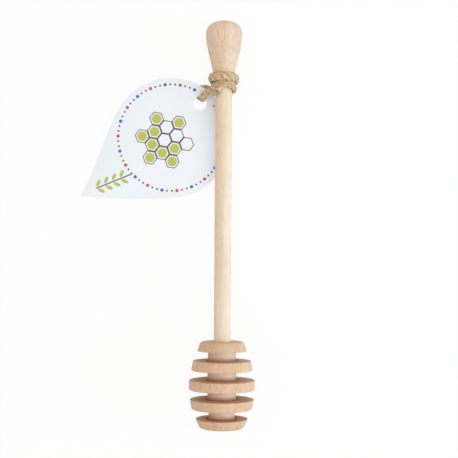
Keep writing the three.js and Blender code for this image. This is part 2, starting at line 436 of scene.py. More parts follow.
def jute(name, tone, dark, pale):
    """Jute yarn: long fine fibres along the strands, with painted shade in the gaps between the yarns
    and in the valleys between the plies.
    """
    material, sockets, shader = new_material(name)
    lay = sockets.node("ShaderNodeUVMap", {"uv_map": "lay"})
    fibres = noise_at(lay, scale=(46.0, 0.55, 1.0), detail=3.0, roughness=0.65, distortion=0.3)
    yarns = noise_at(lay, scale=(15.0, 0.42, 1.0), roughness=0.6, distortion=0.2)
    tufts = noise_at(own_place(sockets), scale=(0.7, 0.7, 0.7), detail=3.0)
    depth = sockets.node("ShaderNodeAttribute", {"attribute_name": "valley"}, None, "Fac")
    colour = blended(between(fibres, 0.35, 0.68), dark, tone)
    colour = blended(between(tufts, 0.45, 0.7) * 0.75, colour, pale)
    # Painted shade in the narrow gaps between the yarns.
    colour = darkened(colour, between(yarns, 0.5, 0.6) * 0.85, tint=(0.56, 0.48, 0.38))
    # Painted shade in the valleys between the plies.
    colour = darkened(colour, depth * 0.6, tint=(0.5, 0.42, 0.34))
    shader.inputs["Sheen Weight"].default_value = 0.25
    shader.inputs["Sheen Roughness"].default_value = 0.6
    shader.inputs["Specular IOR Level"].default_value = 0.2
    sockets.feed(shader.inputs["Base Color"], colour)
    sockets.feed(shader.inputs["Roughness"], 0.85 + 0.12 * fibres)
    height = 0.5 * fibres - 0.8 * yarns
    sockets.feed(shader.inputs["Normal"], bumped(height, distance=0.2 * MM, strength=0.7))
    return material


def wrapped(value, period):
    """The value brought within half a period of 0."""
    return value.math("FLOORED_MODULO", value + period / 2, period) - period / 2


def length_of(first, second):
    return (first * first + second * second) ** 0.5


def inked(distance, half_width):
    """1 nearer than half_width and 0 further off, with a soft edge as wide as ink creeps."""
    return 1.0 - between(distance, half_width - INK_CREEP, half_width + INK_CREEP)


def honeycomb(x, y):
    """Distance inside the edge of a cell in millimetres, and the middle of that cell."""
    wide = COMB_PITCH
    tall = math.sqrt(3.0) * wide
    first_x, first_y = wrapped(x, wide), wrapped(y, tall)
    second_x, second_y = wrapped(x + wide / 2, wide), wrapped(y + tall / 2, tall)
    nearer = x.math("LESS_THAN", length_of(first_x, first_y), length_of(second_x, second_y))
    own_x = second_x + nearer * (first_x - second_x)
    own_y = second_y + nearer * (first_y - second_y)
    slanted = abs(own_x) * 0.5 + abs(own_y) * (math.sqrt(3.0) / 2)
    edge = wide / 2 - x.math("MAXIMUM", abs(own_x), slanted)
    return edge, x - own_x, y - own_y


def by_cell(middle_x, middle_y):
    """A chance value, 0 to 1, that is the same all over one cell."""
    column = middle_x.math("ROUND", middle_x * (2 / COMB_PITCH))
    row = middle_y.math("ROUND", middle_y * (2 / (math.sqrt(3.0) * COMB_PITCH)))
    cell = column.node("ShaderNodeCombineXYZ", None, {"X": column, "Y": row, "Z": 0.0})
    settings = {"noise_dimensions": "3D"}
    return cell.node("ShaderNodeTexWhiteNoise", settings, {"Vector": cell}, "Value")


def comb_print(colour, x, y, tag):
    """A patch of honeycomb on the round head: plum outlines, some cells filled with lime."""
    edge, middle_x, middle_y = honeycomb(x - COMB_MIDDLE[0], y - COMB_MIDDLE[1])
    patch = middle_x.math("LESS_THAN", length_of(middle_x, middle_y), COMB_RADIUS)
    chosen = middle_x.math("LESS_THAN", by_cell(middle_x, middle_y), COMB_FILLED)
    colour = blended(patch * chosen * between(edge, *CELL_INSET), colour, tag.lime)
    return blended(patch * inked(edge, COMB_LINE), colour, tag.plum)


def sprig_print(colour, x, y, tag):
    """A leafy stem down the tail towards the tip."""
    from_x, from_y = x - SPRIG_FOOT[0], y - SPRIG_FOOT[1]
    along = from_x * -math.sin(SPRIG_LEAN) - from_y * math.cos(SPRIG_LEAN)
    aside = from_x * math.cos(SPRIG_LEAN) - from_y * math.sin(SPRIG_LEAN)
    before_end = along.math("LESS_THAN", along, LEAF_PAIRS * LEAF_PITCH)
    near_x = wrapped(along - LEAF_PITCH / 2, LEAF_PITCH)
    near_y = abs(aside) - LEAF_OUT
    diagonal = math.sqrt(0.5)
    long_way = (near_y - near_x) * (diagonal / LEAF_HALF_LENGTH)
    short_way = (near_y + near_x) * (diagonal / LEAF_HALF_WIDTH)
    leaf = inked(length_of(long_way, short_way), 1.0)
    leaves = along.math("GREATER_THAN", along, 0.0) * before_end
    stem = along.math("GREATER_THAN", along, STEM_START) * before_end
    colour = blended(leaves * leaf, colour, tag.lime)
    return blended(stem * inked(abs(aside), STEM_LINE), colour, tag.plum)


def dot_print(colour, x, y, tag):
    """A ring of dots round the card, plum with blue and red between, left open at the hole."""
    from_x, from_y = x - TAG_CENTRE[0], y - TAG_CENTRE[1]
    step = from_x.math("ARCTAN2", from_y, from_x) * (DOT_COUNT / (2 * math.pi))
    near = wrapped(step, 1.0) * (2 * math.pi * DOT_RING / DOT_COUNT)
    distance = length_of(near, length_of(from_x, from_y) - DOT_RING)
    dot = step.math("ROUND", step)
    turn = step.math("FLOORED_MODULO", dot, DOT_CYCLE)
    blue = step.math("COMPARE", turn, BLUE_DOT)
    red = step.math("COMPARE", turn, RED_DOT)
    ink = blended(blue, tag.plum, tag.blue)
    ink = blended(red, ink, tag.red)
    off_hole = dot.math("GREATER_THAN", abs(dot - DOT_COUNT / 4), DOTS_OPEN)
    size = DOT_RADIUS + DOT_COLOUR_GAIN * (blue + red)
    return blended(off_hole * inked(distance - size, 0.0), colour, ink)


def printed_card(name, tag):
    """Smooth pale card with a generic print on its front, a plain back and painted shade on its cut
    edges.
    """
    material, sockets, shader = new_material(name)
    place = own_place(sockets)
    x, y, _ = parts_of(place)
    facing = parts_of(sockets.node("ShaderNodeTexCoord", None, None, "Normal"))[2]
    pulp = noise_at(place, scale=(0.9, 0.9, 0.9), detail=4.0, roughness=0.6)
    grain = noise_at(place, scale=(6.0, 6.0, 6.0))
    plain = darkened(tag.card, between(pulp, 0.4, 0.7), tint=(0.985, 0.987, 0.99))
    front = dot_print(sprig_print(comb_print(plain, x, y, tag), x, y, tag), x, y, tag)
    colour = blended(between(facing, 0.7, 0.9), plain, front)
    # Painted shade: the cut edges much darker than the card itself.
    colour = blended(between(abs(facing), 0.35, 0.8), tag.cut_edge_shade, colour)
    shader.inputs["IOR"].default_value = 1.45
    sockets.feed(shader.inputs["Base Color"], colour)
    sockets.feed(shader.inputs["Roughness"], 0.5 + 0.12 * grain)
    sockets.feed(shader.inputs["Normal"], bumped(grain, distance=0.01 * MM, strength=0.25))
    return material


def shaded_smooth(mesh, angle=None):
    """Smooth shading, with edges sharper than angle kept."""
    mesh.polygons.foreach_set("use_smooth", [True] * len(mesh.polygons))
    if angle is not None:
        mesh.set_sharp_from_angle(angle=angle)
    mesh.update()


def linked(name, mesh, matrix, material):
    """A new piece in the scene."""
    mesh.materials.append(material)
    piece = bpy.data.objects.new(name, mesh)
    bpy.context.scene.collection.objects.link(piece)
    piece.matrix_world = matrix
    return piece


def bezier(start, first, second, end, steps):
    """Points of a cubic curve, both ends included."""
    points = []
    for step in range(steps + 1):
        t = step / steps
        u = 1 - t
        points.append(start * u**3 + first * 3 * u * u * t + second * 3 * u * t * t + end * t**3)
    return points


def eased(corners, steps=5):
    """An outline whose corners, given as (radius, along, ease), are rounded off."""
    outline = []
    for index, (radius, along, ease) in enumerate(corners):
        corner = Vector((radius, along))
        if ease == 0:
            outline.append(corner)
            continue
        before = Vector(corners[index - 1][:2]) - corner
        after = Vector(corners[(index + 1) % len(corners)][:2]) - corner
        under_half = 0.49
        start = corner + before.normalized() * min(ease, before.length * under_half)
        end = corner + after.normalized() * min(ease, after.length * under_half)
        for step in range(steps + 1):
            t = step / steps
            outline.append(start * (1 - t) ** 2 + corner * 2 * t * (1 - t) + end * t * t)
    return outline


def turned(name, outline, flats):
    """A mesh turned about the spoon's axis from an outline that starts and ends on that axis."""
    mesh = bpy.data.meshes.new(name)
    work = bmesh.new()
    rings = []
    for radius, along in outline:
        if radius < ON_AXIS:
            rings.append([work.verts.new((0.0, along * MM, 0.0))])
            continue
        ring = []
        for step in range(flats):
            turn = 2 * math.pi * step / flats
            x, z = radius * MM * math.cos(turn), radius * MM * math.sin(turn)
            ring.append(work.verts.new((x, along * MM, z)))
        rings.append(ring)
    for low, high in zip(rings, rings[1:]):
        for step in range(flats):
            following = (step + 1) % flats
            corners = [low[step % len(low)], low[following % len(low)]]
            corners += [high[following % len(high)], high[step % len(high)]]
            work.faces.new(list(dict.fromkeys(corners)))
    bmesh.ops.recalc_face_normals(work, faces=work.faces)
    work.to_mesh(mesh)
    work.free()
    shaded_smooth(mesh, SHARP_EDGE)
    return mesh


def head_outline(wood):
    """Discs and grooves of the head, with eased rims, a blind bore and eased ends."""
    rim_ease, cove = wood.rim_ease / MM, wood.cove / MM
    end_ease, shoulder_ease = wood.end_ease / MM, wood.shoulder_ease / MM
    corners = [(0.0, 0.0, 0.0)]
    last = len(DISC_DIAMETERS) - 1
    for index, (low_diameter, high_diameter) in enumerate(DISC_DIAMETERS):
        low = index * (DISC_THICKNESS + GROOVE_WIDTH)
        high = low + DISC_THICKNESS
        if index > 0:
            corners.append((CORE_DIAMETERS[index - 1] / 2, low, cove))
        corners.append((low_diameter / 2, low, end_ease if index == 0 else rim_ease))
        corners.append((high_diameter / 2, high, shoulder_ease if index == last else rim_ease))
        if index < last:
            corners.append((CORE_DIAMETERS[index] / 2, high, cove))
    bore = STICK_DIAMETER / 2 + GLUE_LINE
    corners.append((bore, HEAD_LENGTH, 0.0))
    corners.append((bore, HEAD_LENGTH - HEAD_BORE_DEPTH, 0.0))
    corners.append((0.0, HEAD_LENGTH - HEAD_BORE_DEPTH, 0.0))
    return eased(corners)


def stick_outline():
    """The dowel, from the floor of the head's bore to the knob's lower end."""
    radius = STICK_DIAMETER / 2
    foot = HEAD_LENGTH - HEAD_BORE_DEPTH + GLUE_LINE
    stop = NECK_AT - GLUE_LINE
    outline = [Vector((0.0, foot))]
    for step in range(STICK_LENGTHS + 1):
        outline.append(Vector((radius, foot + (stop - foot) * step / STICK_LENGTHS)))
    outline.append(Vector((0.0, stop)))
    return outline


def knob_outline():
    """The pear of the knob, from its lower end up to its dome."""
    neck = KNOB_NECK_DIAMETER / 2
    widest = KNOB_WIDEST_DIAMETER / 2
    widest_at = TOTAL_LENGTH - KNOB_WIDEST_BELOW_TOP
    taper = bezier(
        Vector((neck, NECK_AT)),
        Vector((neck + KNOB_TAPER_GAIN, NECK_AT + KNOB_TAPER_RUN)),
        Vector((widest, widest_at - KNOB_BELLY_RUN)),
        Vector((widest, widest_at)),
        TAPER_STEPS,
    )
    dome = bezier(
        Vector((widest, widest_at)),
        Vector((widest, widest_at + KNOB_WIDEST_BELOW_TOP * KNOB_DOME_FULLNESS)),
        Vector((widest * KNOB_DOME_FULLNESS, TOTAL_LENGTH)),
        Vector((0.0, TOTAL_LENGTH)),
        DOME_STEPS,
    )
    return [Vector((0.0, NECK_AT))] + taper + dome[1:]


def clamp(value, low, high):
    return max(low, min(high, value))


def seat_radius(along):
    """How far from the axis the twine lies on the stick, on the knob's lower edge or on its taper."""
    reach = TWINE_DIAMETER / 2 + TWINE_CLEARANCE
    slope = KNOB_TAPER_GAIN / KNOB_TAPER_RUN
    on_edge = math.sqrt(max(reach**2 - along**2, 0.0))
    on_taper = slope * along + reach * math.hypot(1.0, slope) if along > 0 else 0.0
    return max(STICK_DIAMETER / 2 + reach, KNOB_NECK_DIAMETER / 2 + max(on_edge, on_taper))


def smooth_step(value, low, high):
    share = clamp((value - low) / (high - low), 0.0, 1.0)
    return share * share * (3 - 2 * share)


def place_along(angle):
    """Place along the axis at an angle: the twine eases from each station to the next."""
    share = TIE_STATIONS[0][1]
    for before, after in zip(TIE_STATIONS, TIE_STATIONS[1:]):
        share += (after[1] - before[1]) * smooth_step(angle, before[0], after[0])
    return share * TWINE_DIAMETER


def winding_point(angle):
    """The winding's centre line at an angle in degrees, in the spoon's own frame."""
    along = place_along(angle)
    radius = seat_radius(along)
    turn = math.radians(angle)
    return Vector((-radius * math.cos(turn), NECK_AT + along, radius * math.sin(turn)))


def winding_run(start, end, matrix):
    """Points of the winding between two angles, in the part's frame, in metres."""
    steps = round(abs(end - start) / WINDING_STEP)
    angles = [start + (end - start) * step / steps for step in range(steps + 1)]
    return [matrix @ (winding_point(angle) * MM) for angle in angles]


def smooth_line(knots, spacing):
    """Points at an even spacing on a smooth curve through the knots."""
    fine = []
    fineness = 3
    padded = [knots[0] * 2 - knots[1], *knots, knots[-1] * 2 - knots[-2]]
    for before, start, end, after in zip(padded, padded[1:], padded[2:], padded[3:]):
        steps = max(2, round((end - start).length / spacing * fineness))
        for step in range(steps):
            t = step / steps
            bend = (before * 2 - start * 5 + end * 4 - after) * t * t
            twist = (start * 3 - before - end * 3 + after) * t**3
            fine.append((start * 2 + (end - before) * t + bend + twist) / 2)
    fine.append(knots[-1])
    line = [fine[0]]
    for place in fine[1:]:
        if (place - line[-1]).length >= spacing:
            line.append(place)
    return line


def twine_line(spacing):
    """The twine's whole centre line: round the neck, through the tag's hole and back to the join."""
    matrix = spoon_matrix()
    neck = Vector(joint("twine_turn")["pos_m"])
    lying = TWINE_DIAMETER / 2
    stretch = [
        Vector((neck.x + out * MM, neck.y + past * MM, (high + lying) * MM))
        for out, past, high in reversed(STRETCH_POINTS)
    ]
    knots = winding_run(JOIN_AT + JOIN_GAP, TIE_END, matrix)
    knots += stretch
    knots += winding_run(TIE_START, JOIN_AT, matrix)
    return smooth_line(knots, spacing)


def carried_frames(line):
    """For each point of a line: its way on and two directions across it that don't twist."""
    across = Vector((0.0, 1.0, 0.0))
    frames = []
    for index, place in enumerate(line):
        way = (line[min(index + 1, len(line) - 1)] - line[max(index - 1, 0)]).normalized()
        across = (across - way * across.dot(way)).normalized()
        frames.append((place, way, across, way.cross(across)))
    return frames


def pressed_on_wood(place, spoon, twine):
    """How the wood presses the twine: the way out, how flat, how far out, and how wide to each side."""
    own = spoon.inverted() @ place
    outward = Vector((own.x, 0.0, own.z))
    along = own.y / MM - NECK_AT
    left, front = -own.x / MM, own.z / MM
    lifted = outward.length / MM - seat_radius(along)
    flat = 1.0 - smooth_step(lifted, *LIFTS_OFF_WOOD)
    height = twine.tight + (twine.slack - twine.tight) * smooth_step(along, *TIGHT_TO_SLACK)
    meets = smooth_step(front, *MEETING_IN_FRONT) * smooth_step(-along, *MEETING_BELOW_NECK)
    meeting = meets * (twine.meeting - twine.spread)
    closing = smooth_step(front, *CLOSING_IN_FRONT) * (twine.closing - twine.spread)
    lower_turn = smooth_step(-along, *LOWER_TURN)
    upper = max(meeting * smooth_step(left, *MEETING_UPPER_LEFT), closing * lower_turn)
    lower = max(meeting * smooth_step(left, *MEETING_LOWER_LEFT), closing * (1.0 - lower_turn))
    way_out = (spoon.to_3x3() @ outward).normalized()
    return way_out, flat, height, twine.spread + upper, twine.spread + lower


def pressed_in_hole(place, tag, twine):
    """How the edge of the tag's hole presses the twine, as for the wood."""
    card = tag.inverted() @ place
    to_middle = Vector((-card.x, -card.y, 0.0))
    off_hole = max(abs(card.z) / MM, to_middle.length / MM - HOLE_MIDDLE)
    flat = 1.0 - smooth_step(off_hole, *HOLE_LETS_GO)
    return (tag.to_3x3() @ to_middle).normalized(), flat, twine.tight * HOLE_SIDE, 1.0, 1.0


def pulled_flat(place, spoon, twine):
    """How the strand from the hole up to the wood lies flat, as for the wood."""
    own = spoon.inverted() @ place
    off_wood = smooth_step(-own.x / MM, *STRAND_LEFT)
    off_wood *= smooth_step(NECK_AT - own.y / MM, *STRAND_BELOW_NECK)
    flat = off_wood * smooth_step(place.z / MM, *STRAND_HEIGHT)
    return Vector((0.0, 0.0, 1.0)), flat, FREE_SIDE, twine.strand, twine.strand


def pressed_under_card(place, spoon, twine):
    """How the strand that comes back under the card lies flat, as for the wood."""
    own = spoon.inverted() @ place
    flat = smooth_step(-own.x / MM, *LYING_LEFT) * (1.0 - smooth_step(place.z / MM, *LYING_RISES))
    return Vector((0.0, 0.0, 1.0)), flat, FREE_SIDE, twine.lying, twine.strand


def flattened(lean, flat, outer, wide):
    """Reach of a flattened section where its direction leans that much outward."""
    thin = 1.0 + ((outer if lean > 0 else WOOD_SIDE) - 1.0) * flat
    broad = 1.0 + (wide - 1.0) * flat
    return 1.0 / math.sqrt((lean / thin) ** 2 + max(1.0 - lean * lean, 0.0) / broad**2)


def grain_at(turn, run, grain, start=0.0):
    """Unevenness at a turn round the twine and at a run along it in millimetres."""
    around, along = grain
    return noise.noise(Vector((around * math.cos(turn), around * math.sin(turn), run * along + start)))


def twine_mesh(name, line, twine):
    """Plies twisted into one twine along a line, pressed flat on the wood, with uneven fibres."""
    mesh = bpy.data.meshes.new(name)
    sides = RING_SIDES
    spoon, tag = spoon_matrix(), tag_matrix()
    knob_way = spoon.to_3x3() @ Vector((0.0, 1.0, 0.0))
    verts, lays, valley_shade_shares, faces = [], [], [], []
    run = 0.0
    frames = carried_frames(line)
    for index, (place, _, across, other) in enumerate(frames):
        if index:
            run += (place - line[index - 1]).length
        twist = 2 * math.pi * run / twine.pitch
        presses = (
            pressed_on_wood(place, spoon, twine),
            pressed_in_hole(place, tag, twine),
            pulled_flat(place, spoon, twine),
            pressed_under_card(place, spoon, twine),
        )
        for side in range(sides):
            turn = 2 * math.pi * side / sides
            ply = turn - twist
            crest = abs(math.cos(twine.plies * ply / 2)) ** PLY_CREST
            rough = grain_at(ply, run / MM, FINE_GRAIN)
            tuft = grain_at(turn, run / MM, COARSE_GRAIN, COARSE_START)
            direction = across * math.cos(turn) + other * math.sin(turn)
            reach = twine.radius * (1 - twine.valley + twine.valley * crest)
            for outward, flat, outer, upper, lower in presses:
                wide = upper if direction.dot(knob_way) > 0 else lower
                reach *= flattened(direction.dot(outward), flat, outer, wide)
            rim = place + direction * (reach + twine.roughness * (rough + COARSE_SHARE * tuft))
            rim.z = max(rim.z, TWINE_OFF_FLOOR * MM)
            if place.z < LYING_BELOW * MM:
                rim.z = min(rim.z, place.z + LYING_TOP * MM)
            verts.append(rim)
            lays.append((ply / (2 * math.pi), run / MM))
            valley_shade_shares.append(1 - crest)
    rings = len(frames)
    for ring in range(rings - 1):
        for side in range(sides):
            following = (side + 1) % sides
            low, high = ring * sides, (ring + 1) * sides
            faces.append((low + side, low + following, high + following, high + side))
    faces.append(tuple(reversed(range(sides))))
    faces.append(tuple(range((rings - 1) * sides, rings * sides)))
    mesh.from_pydata(verts, [], faces)
    layer = mesh.uv_layers.new(name="lay")
    for loop in mesh.loops:
        layer.data[loop.index].uv = lays[loop.vertex_index]
    # How deep each point lies in a valley between plies, for the painted shade there.
    attribute = mesh.attributes.new("valley", "FLOAT", "POINT")
    attribute.data.foreach_set("value", valley_shade_shares)
    shaded_smooth(mesh)
    return mesh


def clear_of_pieces(points, spoon_inverse, tag_inverse):
    """Whether a fibre stays above the floor, out of the wood and on one side of the card."""
    heights = []
    for place in points:
        own = spoon_inverse @ place
        wood = seat_radius(own.y / MM - NECK_AT) - TWINE_DIAMETER / 2 - TWINE_CLEARANCE
        in_wood = math.hypot(own.x, own.z) < (wood + HAIR_OFF_WOOD) * MM
        if in_wood or place.z < HAIR_OFF_FLOOR * MM:
            return False
        heights.append((tag_inverse @ place).z)
    off_card = TAG_THICKNESS * MM
    return min(heights) > off_card or max(heights) < -off_card


def fibre_mesh(name, line, twine):
    """Loose jute hairs that stand out of the twine, as thin tapers."""
    chance = random.Random(twine.fibre_seed)
    spoon_inverse = spoon_matrix().inverted()
    tag_inverse = tag_matrix().inverted()
    mesh = bpy.data.meshes.new(name)
    frames = carried_frames(line)
    verts, faces = [], []
    for _ in range(twine.fibres):
        place, way, across, other = chance.choice(frames)
        turn = chance.uniform(0.0, 2 * math.pi)
        outward = across * math.cos(turn) + other * math.sin(turn)
        sideways = way.cross(outward)
        heading = way * chance.choice((-1.0, 1.0)) + outward * chance.uniform(*HAIR_RISE)
        heading += sideways * chance.uniform(*HAIR_LEAN)
        curl = outward * chance.uniform(*HAIR_CURL_OUT) + sideways * chance.uniform(*HAIR_CURL_ASIDE)
        length = twine.fibre_length * chance.uniform(*HAIR_LENGTHS)
        root = place + outward * twine.radius * HAIR_ROOT
        points = [root + (heading * share + curl * share * share) * length for share in HAIR_RINGS]
        thickness = twine.fibre_thickness * chance.uniform(*HAIR_THICKNESSES)
        if not clear_of_pieces(points, spoon_inverse, tag_inverse):
            continue
        first = len(verts)
        for share, point in zip(HAIR_RINGS, points):
            for corner in range(HAIR_SIDES):
                angle = 2 * math.pi * corner / HAIR_SIDES
                rim = outward * math.cos(angle) + sideways * math.sin(angle)
                verts.append(point + rim * thickness / 2 * (1.0 - HAIR_TAPER * share))
        for ring in range(len(HAIR_RINGS) - 1):
            low = first + HAIR_SIDES * ring
            high = low + HAIR_SIDES
            for corner in range(HAIR_SIDES):
                following = (corner + 1) % HAIR_SIDES
                faces.append((low + corner, low + following, high + following, high + corner))
        faces.append(tuple(reversed(range(first, first + HAIR_SIDES))))
        faces.append(tuple(range(len(verts) - HAIR_SIDES, len(verts))))
    mesh.from_pydata(verts, [], faces)
    shaded_smooth(mesh)
    return mesh


def card_outline():
    """Points round the card and points round its hole, in the tag's own frame, in millimetres."""
    centre = Vector(TAG_CENTRE)
    tip = Vector(TAG_TIP)

    def way(degrees):
        return Vector((math.cos(math.radians(degrees)), math.sin(math.radians(degrees))))

    sweep = TAG_LEFT_LEAVES - TAG_RIGHT_LEAVES
    arc = [
        centre + way(TAG_RIGHT_LEAVES + sweep * step / ARC_STEPS) * TAG_RADIUS
        for step in range(ARC_STEPS + 1)
    ]
    right, left = arc[0], arc[-1]
    left_run = left + way(TAG_LEFT_LEAVES + 90) * TAG_LEFT_RUN
    tip_run = tip + way(TAG_TIP_WAY) * TAG_TIP_RUN
    right_run = right + way(TAG_RIGHT_LEAVES - 90) * TAG_RIGHT_RUN
    left_side = bezier(left, left_run, tip_run, tip, SIDE_STEPS)
    right_side = bezier(tip, (tip + right_run * 2) / 3, (right + right_run * 2) / 3, right, SIDE_STEPS)
    hole = [way(360 * step / HOLE_STEPS) * TAG_HOLE_DIAMETER / 2 for step in range(HOLE_STEPS)]
    return arc + left_side[1:] + right_side[1:-1], hole


def is_rim(edge):
    """Whether an edge of the card runs round its outline or its hole, on the front or the back."""
    upright = abs(edge.verts[0].co.z - edge.verts[1].co.z) > TAG_THICKNESS / 2 * MM
    return edge.calc_face_angle(0.0) > math.radians(60) and not upright


def card_mesh(name, ease):
    """The card with its punched hole, front up, with slightly eased edges."""
    mesh = bpy.data.meshes.new(name)
    work = bmesh.new()
    top = TAG_THICKNESS / 2
    edges = []
    for loop in card_outline():
        verts = [work.verts.new((place.x * MM, place.y * MM, top * MM)) for place in loop]
        edges += [work.edges.new((verts[index - 1], verts[index])) for index in range(len(verts))]
    bmesh.ops.triangle_fill(work, use_beauty=True, use_dissolve=False, edges=edges)
    back = bmesh.ops.extrude_face_region(work, geom=list(work.faces))
    under = [part for part in back["geom"] if isinstance(part, bmesh.types.BMVert)]
    bmesh.ops.translate(work, verts=under, vec=(0.0, 0.0, -TAG_THICKNESS * MM))
    bmesh.ops.recalc_face_normals(work, faces=work.faces)
    rims = [edge for edge in work.edges if is_rim(edge)]
    bmesh.ops.bevel(work, geom=rims, offset=ease, segments=2, profile=0.5, affect="EDGES")
    work.to_mesh(mesh)
    work.free()
    shaded_smooth(mesh, SHARP_EDGE)
    return mesh


def colour_setting(name, description, colour):
    """A colour that a user may change."""
    return bpy.props.FloatVectorProperty(
        name=name, description=description, subtype="COLOR", size=3, default=colour, min=0.0, max=1.0)


class TwineSettings(bpy.types.PropertyGroup):
    """Sizes and colours of the jute twine."""

    radius: bpy.props.FloatProperty(
        name="Radius", description="From the middle to the crest of a ply where nothing presses it",
        default=1.26 * MM, subtype="DISTANCE", unit="LENGTH", precision=5)
    plies: bpy.props.IntProperty(
        name="Plies", description="Yarns twisted together", default=3, min=2, max=6)
    pitch: bpy.props.FloatProperty(
        name="Pitch", description="Length of twine in one full twist",
        default=8.5 * MM, subtype="DISTANCE", unit="LENGTH", precision=5)
    valley: bpy.props.FloatProperty(
        name="Valley", description="Depth between two plies as a share of the radius",
        default=0.13, min=0.0, max=0.5, subtype="FACTOR")
    spread: bpy.props.FloatProperty(
        name="Spread", description="Half width on the wood as a share of the radius",
        default=1.28, min=1.0, max=1.6)
    meeting: bpy.props.FloatProperty(
        name="Spread at the meeting", default=2.5, min=1.0, max=3.0,
        description="Half width where the strand from the tag meets the wood, as a share of the radius")
    strand: bpy.props.FloatProperty(
        name="Spread of the strand", default=1.2, min=1.0, max=2.0,
        description="Half width of the strand from the tag up to the wood, as a share of the radius")
    lying: bpy.props.FloatProperty(
        name="Spread under the card", default=1.6, min=1.0, max=2.0,
        description="Half width towards the knob of the strand under the card, as a share of the radius")
    closing: bpy.props.FloatProperty(
        name="Spread between the turns", default=1.68, min=1.0, max=2.0,
        description="Half width where the two turns press on each other, as a share of the radius")
    tight: bpy.props.FloatProperty(
        name="Tight turn", description="Height of the lower turn as a share of the radius",
        default=0.5, min=0.2, max=1.2)
    slack: bpy.props.FloatProperty(
        name="Slack turn", description="Height of the upper turn as a share of the radius",
        default=1.05, min=0.2, max=1.2)
    roughness: bpy.props.FloatProperty(
        name="Unevenness", description="How far tufts of fibre stand proud",
        default=0.1 * MM, subtype="DISTANCE", unit="LENGTH", precision=6)
    fibres: bpy.props.IntProperty(
        name="Hairs", description="Loose fibres tried along the twine", default=620, min=0, max=5000)
    fibre_seed: bpy.props.IntProperty(
        name="Hair seed", description="Start of the hairs' chance", default=7, min=0)
    fibre_length: bpy.props.FloatProperty(
        name="Hair length", description="Longest loose fibre",
        default=1.5 * MM, subtype="DISTANCE", unit="LENGTH", precision=5)
    fibre_thickness: bpy.props.FloatProperty(
        name="Hair thickness", description="Thickness of a loose fibre at its root",
        default=0.075 * MM, subtype="DISTANCE", unit="LENGTH", precision=6)
    colour: colour_setting("Jute", "Colour of the yarn", linear(246, 219, 181))
    dark: colour_setting("Dark fibres", "Colour of the darker fibres", linear(174, 136, 95))
    pale: colour_setting("Pale fibres", "Colour of the paler tufts", linear(240, 215, 180))


class WoodSettings(bpy.types.PropertyGroup):
    """Finish of the turned beech."""

    flats: bpy.props.IntProperty(
        name="Segments", description="Segments round each turned piece", default=128, min=24, max=512)
    rim_ease: bpy.props.FloatProperty(
        name="Rim easing", description="Rounding of the discs' rims",
        default=0.3 * MM, min=0.0, max=1.5 * MM, subtype="DISTANCE", unit="LENGTH", precision=5)
    cove: bpy.props.FloatProperty(
        name="Cove", description="Rounding in the corners of the grooves",
        default=0.35 * MM, min=0.0, max=1.5 * MM, subtype="DISTANCE", unit="LENGTH", precision=5)
    end_ease: bpy.props.FloatProperty(
        name="End easing", description="Rounding of the free end",
        default=1.4 * MM, min=0.0, max=2.0 * MM, subtype="DISTANCE", unit="LENGTH", precision=5)
    shoulder_ease: bpy.props.FloatProperty(
        name="Shoulder easing", description="Rounding of the shoulder by the stick",
        default=1.2 * MM, min=0.0, max=2.0 * MM, subtype="DISTANCE", unit="LENGTH", precision=5)
    head_tone: colour_setting("Head", "Beech of the head", linear(225, 192, 162))
    head_warm: colour_setting("Head, warm", "Warmer beech of the head", linear(219, 181, 148))
    # Partly painted light: paler than the cores' wood, so that the grooves' shade is lifted.
    core_tone: colour_setting("Cores", "Beech at the bottom of the grooves", linear(235, 212, 195))
    stick_tone: colour_setting("Stick", "Beech of the stick", linear(234, 218, 196))
    stick_warm: colour_setting("Stick, warm", "Warmer beech of the stick", linear(232, 208, 181))
    knob_tone: colour_setting("Knob", "Beech of the knob", linear(230, 208, 185))
    knob_warm: colour_setting("Knob, warm", "Warmer beech of the knob", linear(225, 196, 170))


class TagSettings(bpy.types.PropertyGroup):
    """Card and inks of the tag."""

    ease: bpy.props.FloatProperty(
        name="Edge easing", description="Rounding of the cut edges",
        default=0.06 * MM, min=0.01 * MM, max=0.15 * MM, subtype="DISTANCE", unit="LENGTH", precision=6)
    card: colour_setting("Card", "Colour of the card", linear(239, 245, 252))
    # Painted shade on the card's cut edges.
    cut_edge_shade: colour_setting("Cut edge", "Colour of the card's cut edge", linear(160, 163, 166))
    plum: colour_setting("Plum ink", "Ink of outlines, stem and small dots", linear(104, 76, 84))
    lime: colour_setting("Lime ink", "Ink of the leaves and of the filled cells", linear(186, 196, 92))
    blue: colour_setting("Blue ink", "Ink of every sixth dot", linear(66, 110, 185))
    red: colour_setting("Red ink", "Ink of every sixth dot, between the blue ones", linear(205, 75, 100))


